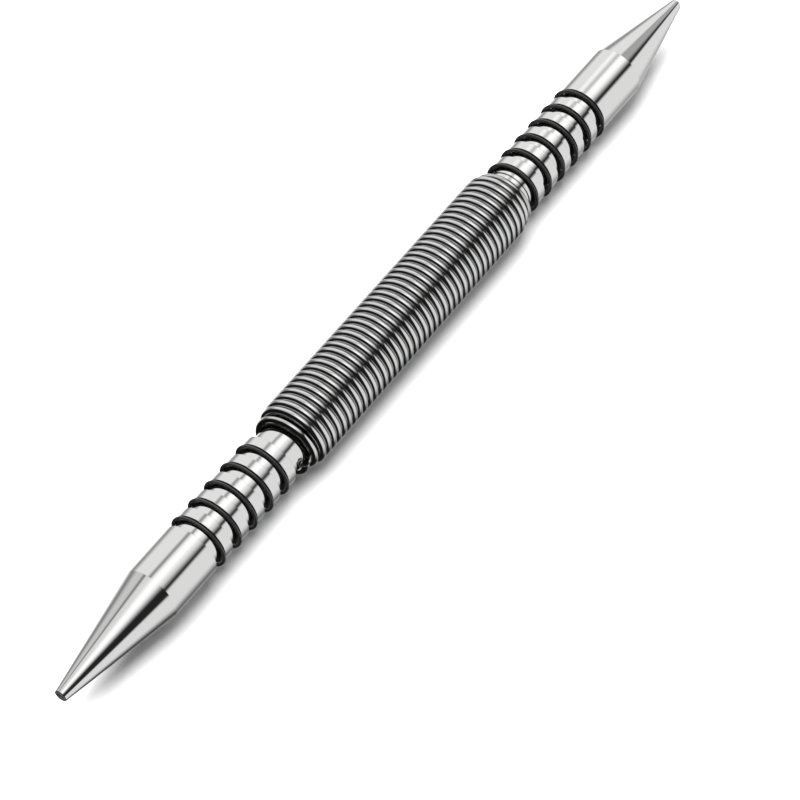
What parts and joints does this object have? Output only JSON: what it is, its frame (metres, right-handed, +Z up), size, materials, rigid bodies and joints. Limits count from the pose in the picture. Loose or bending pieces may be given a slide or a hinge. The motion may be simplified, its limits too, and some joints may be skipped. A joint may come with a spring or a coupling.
{
  "type": "spring driven center punch",
  "caption": "Hammerless center punch: tapered steel rods with rubber grip rings, joined end to end by a close-wound tension spring that snaps them together.",
  "frame": {"origin": "middle of the tool's footprint, on the surface it lies on", "axes": "+X along the rods, from the cupped tip to the plain tip; +Z up"},
  "size_m": [0.1668, 0.012, 0.012],
  "materials": {
    "rod_steel": "mirror polished hardened steel",
    "spring_wire": "drawn spring wire, lightly oiled",
    "grip_rubber": "smooth black rubber with a slight gloss"
  },
  "bodies": {
    "cupped_half": {"cupped_punch": "rod_steel", "cupped_grip_ring_1": "grip_rubber", "cupped_grip_ring_2": "grip_rubber", "cupped_grip_ring_3": "grip_rubber", "cupped_grip_ring_4": "grip_rubber", "cupped_grip_ring_5": "grip_rubber", "tension_spring": "spring_wire"},
    "plain_half": {"plain_punch": "rod_steel", "plain_grip_ring_1": "grip_rubber", "plain_grip_ring_2": "grip_rubber", "plain_grip_ring_3": "grip_rubber", "plain_grip_ring_4": "grip_rubber", "plain_grip_ring_5": "grip_rubber", "plain_grip_ring_6": "grip_rubber"}
  },
  "joints": [
    {"name": "draw_back", "type": "slide", "parent": "cupped_half", "child": "plain_half", "axis": [1, 0, 0], "range_m": [0, 0.025], "stiffness_N_per_m": 650, "springref_m": -0.025, "deforming": ["tension_spring"]}
  ]
}
